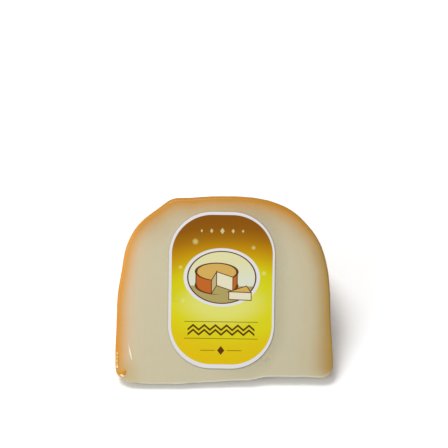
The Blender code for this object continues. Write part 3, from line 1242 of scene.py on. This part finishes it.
def draw_wheel(art):
    """A whole wheel of cheese."""
    x, y = WHEEL_MIDDLE
    top = art.ellipse(x, y, *WHEEL_HALF)
    foot = art.ellipse(x, y - WHEEL_HEIGHT_MM, *WHEEL_HALF)
    side = art.box(x, y - WHEEL_HEIGHT_MM / 2, WHEEL_HALF[0], WHEEL_HEIGHT_MM / 2)
    body = top.least(foot).least(side)
    art.ink(body, INK_RIND)
    art.ink(top, INK_TOP)
    art.line(body, LINE_MM, INK_BROWN)
    art.line(top, FINE_LINE_MM, INK_BROWN)


def draw_notch(art):
    """The cut in the wheel: two faces of paste that meet at its middle."""
    heart = WHEEL_MIDDLE
    ends = []
    for degrees in (NOTCH_FROM, NOTCH_TO):
        turn = math.radians(degrees)
        ends.append((heart[0] + WHEEL_HALF[0] * math.cos(turn), heart[1] + WHEEL_HALF[1] * math.sin(turn)))
    near, far = ends
    heart_foot, near_foot, far_foot = [lowered(corner, WHEEL_HEIGHT_MM) for corner in (heart, near, far)]
    floor_front = (far[0], near_foot[1] - NOTCH_FLOOR_DROP_MM)
    art.ink(art.polygon((heart_foot, near_foot, floor_front, far_foot)), INK_TABLE)
    draw_outlined(art, art.polygon((heart, heart_foot, far_foot, far)), INK_PASTE)
    draw_outlined(art, art.polygon((heart, near, near_foot, heart_foot)), INK_SHADE)


def draw_slice(art):
    """The wedge that came out of the wheel, set down beside it."""
    tip_foot, front_foot = [lowered(corner, SLICE_HEIGHT_MM) for corner in (SLICE_TIP, SLICE_FRONT)]
    draw_outlined(art, art.polygon((tip_foot, front_foot, SLICE_FRONT, SLICE_TIP)), INK_PASTE)
    draw_outlined(art, art.polygon((SLICE_TIP, SLICE_FRONT, SLICE_BACK)), INK_TOP)


# %% [markdown]
# Below the plaque lies a band of bold chevrons between two rules, like the plait on a wheel's rim,
# which gives the yellow ground a dark accent. Under it is a diamond between two short rules.

# %% Band of chevrons
BAND_UP_MM = -18.6
BAND_HALF = (15.6, 2.9)
CHEVRON_STEP_MM = 5.2
CHEVRON_RISE_MM = 2.2
CHEVRON_LINE_MM = 0.85
CHEVRON_ROWS = (-2.1, 0.1)

RULE_HALF_MM = 0.16
RULE_STRENGTH = 0.8
RULE_OFF_BAND_MM = 1.0
RULE_BEYOND_BAND_MM = 1.5
FOOT_UP_MM = -28.0
FOOT_DIAMOND_HALF = (1.7, 2.1)
SHORT_RULE_ASIDE_MM = 6.2
SHORT_RULE_HALF_MM = 3.4


def draw_band(art):
    """Chevrons between two rules, and a diamond under them."""
    wave = abs(((art.across / CHEVRON_STEP_MM) + 0.5).math("FRACT") - 0.5) * (2.0 * CHEVRON_RISE_MM)
    slant = math.hypot(1.0, 2.0 * CHEVRON_RISE_MM / CHEVRON_STEP_MM)
    band = art.box(0.0, BAND_UP_MM, *BAND_HALF)
    for offset in CHEVRON_ROWS:
        row = abs(art.up - (BAND_UP_MM + offset) - wave) / slant - CHEVRON_LINE_MM / 2
        art.ink(row.most(band), INK_BROWN)
    half_rule = BAND_HALF[0] + RULE_BEYOND_BAND_MM
    for side in (-1.0, 1.0):
        rule_up = BAND_UP_MM + side * (BAND_HALF[1] + RULE_OFF_BAND_MM)
        art.ink(art.box(0.0, rule_up, half_rule, RULE_HALF_MM), INK_BROWN, RULE_STRENGTH)
        short_rule = art.box(side * SHORT_RULE_ASIDE_MM, FOOT_UP_MM, SHORT_RULE_HALF_MM, RULE_HALF_MM)
        art.ink(short_rule, INK_BROWN, RULE_STRENGTH)
    art.ink(art.diamond(0.0, FOOT_UP_MM, *FOOT_DIAMOND_HALF), INK_BROWN)


# %% [markdown]
# The print stops short of the paper's edge, a little off its middle, and leaves a white border. The
# paper's fine grain varies the shine by a little and shows as a faint relief.

# %% Label material
WHITE_BORDER_MM = (1.15, 1.66)  # at the sides, and at the ends
FIELD_MOVED_MM = (0.1, 0.3)
PAPER_SPECULAR = 0.06
PAPER_GRAIN_SCALE = 2200.0
PAPER_GRAIN_HEIGHT = 0.0001
PAPER_BUMP = 0.2
PAPER_LEAST_ROUGH = 0.35
PAPER_ROUGH_SWING = 0.14


def label_material():
    """Printed paper, with every motif laid over the ground in turn."""
    material, tree, shader = new_material("printed label", Specular_IOR_Level=PAPER_SPECULAR)
    u, v, _ = tree.split(tree.add("ShaderNodeUVMap", {"uv_map": "print"}).outputs[0])
    across = (u - 0.5) * (LABEL_WIDTH * MM)
    up = (v - 0.5) * (LABEL_HEIGHT * MM)
    art = Print(tree, across, up, INK_WHITE)
    field = sheet_distance(across - FIELD_MOVED_MM[0], up - FIELD_MOVED_MM[1], *WHITE_BORDER_MM)
    art.ink(field, label_ground(tree, across, up))
    for draw in (draw_diamonds, draw_glow, draw_plaque, draw_wheel, draw_notch, draw_slice, draw_band):
        draw(art)
    tree.fill(shader.inputs["Base Color"], art.colour)
    grain = tree.noise(tree.own_place(), PAPER_GRAIN_SCALE, detail=3.0, roughness=0.6)
    tree.fill(shader.inputs["Roughness"], grain * PAPER_ROUGH_SWING + PAPER_LEAST_ROUGH)
    tree.fill(shader.inputs["Normal"], tree.bump(grain, PAPER_GRAIN_HEIGHT, PAPER_BUMP))
    return material


label.data.materials.append(label_material())
print("label material has", len(label.data.materials[0].node_tree.nodes), "nodes")

# %% [markdown]
# The photograph's view is square to the shown cut face. A long lens keeps it flat, and a small
# vertical shift puts the cheese below the middle of the frame.

# %% Camera
PICTURE_PIXELS = 448
METRES_PER_PIXEL = 0.0004656  # in the plane of the cut face
LENS_MM = 100.0
SENSOR_MM = 36.0
AIM_ACROSS = -0.00035  # the aim's place along the wheel's axis
AIM_FROM_AXIS = 0.0490  # the aim's distance from the wheel's axis, on the cut face
AIM_DOWN_PIXELS = 66.75  # how far below the picture's middle the aim lies

scene = bpy.context.scene
camera = bpy.data.objects.new("camera", bpy.data.cameras.new("camera"))
camera.data.lens = LENS_MM
camera.data.sensor_width = SENSOR_MM
camera.data.shift_y = AIM_DOWN_PIXELS / PICTURE_PIXELS
camera_distance = PICTURE_PIXELS * METRES_PER_PIXEL * LENS_MM / SENSOR_MM
camera.location = face_place @ Vector((AIM_ACROSS, AIM_FROM_AXIS, camera_distance))
camera.rotation_euler = (math.radians(CUT_ANGLE), 0.0, 0.0)
scene.collection.objects.link(camera)
scene.camera = camera
print("camera stands", round(camera_distance, 3), "m from the cut face")


# %% [markdown]
# The light is even and catalogue-like. The soft key stands almost overhead, a little behind the cheese
# and to its left, and a weaker fill stands at the front left. They brighten the left rind and leave
# the right side a little darker. A white surround lights the rest.

# %% Lights
LIGHT_AIM = (0.0, 0.0, 0.03)
SURROUND_STRENGTH = 0.46


def add_light(name, place, size, power):
    """A square soft light at a place, facing the cheese."""
    data = bpy.data.lights.new(name, "AREA")
    data.size = size
    data.energy = power
    light = bpy.data.objects.new(name, data)
    light.location = place
    light.rotation_euler = (Vector(LIGHT_AIM) - Vector(place)).to_track_quat("-Z", "Y").to_euler()
    scene.collection.objects.link(light)


add_light("key", place=(-0.28, 0.28, 1.05), size=0.5, power=9.0)
add_light("fill", place=(-0.75, -0.40, 0.60), size=0.6, power=2.6)

world = bpy.data.worlds.new("studio")
scene.world = world
world.use_nodes = True
backdrop = world.node_tree.nodes["Background"]
backdrop.inputs["Color"].default_value = (1.0, 1.0, 1.0, 1.0)
backdrop.inputs["Strength"].default_value = SURROUND_STRENGTH
scene.view_settings.view_transform = "Standard"

# %% [markdown]
# The floor is a plain pale sheet just under the cheese, wide enough to fill the picture.

# %% Floor
FLOOR_HALF = 2.0
FLOOR_UNDER = 0.0001
FLOOR_COLOUR = (0.96, 0.96, 0.96, 1.0)
FLOOR_ROUGHNESS = 0.9

floor_corners = []
for side, end in ((-1, -1), (1, -1), (1, 1), (-1, 1)):
    floor_corners.append((side * FLOOR_HALF, end * FLOOR_HALF, -FLOOR_UNDER))
floor_mesh = bpy.data.meshes.new("floor")
floor_mesh.from_pydata(floor_corners, [], [(0, 1, 2, 3)])
floor_material = new_material("pale floor", Base_Color=FLOOR_COLOUR, Roughness=FLOOR_ROUGHNESS)[0]
floor_mesh.materials.append(floor_material)
floor = bpy.data.objects.new("floor", floor_mesh)
scene.collection.objects.link(floor)

# %% [markdown]
# A wedge of cheese has no moving parts, so every piece rides on the one body. The cheese and its
# film stand for the wedge's solid, and the printed label for the label's.

# %% Tie the pieces to the solid model
for piece in (cheese, film, label, *small_pieces):
    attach(piece, "root")
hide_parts("cheese_wedge")
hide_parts("cheese_wedge")
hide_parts("label")
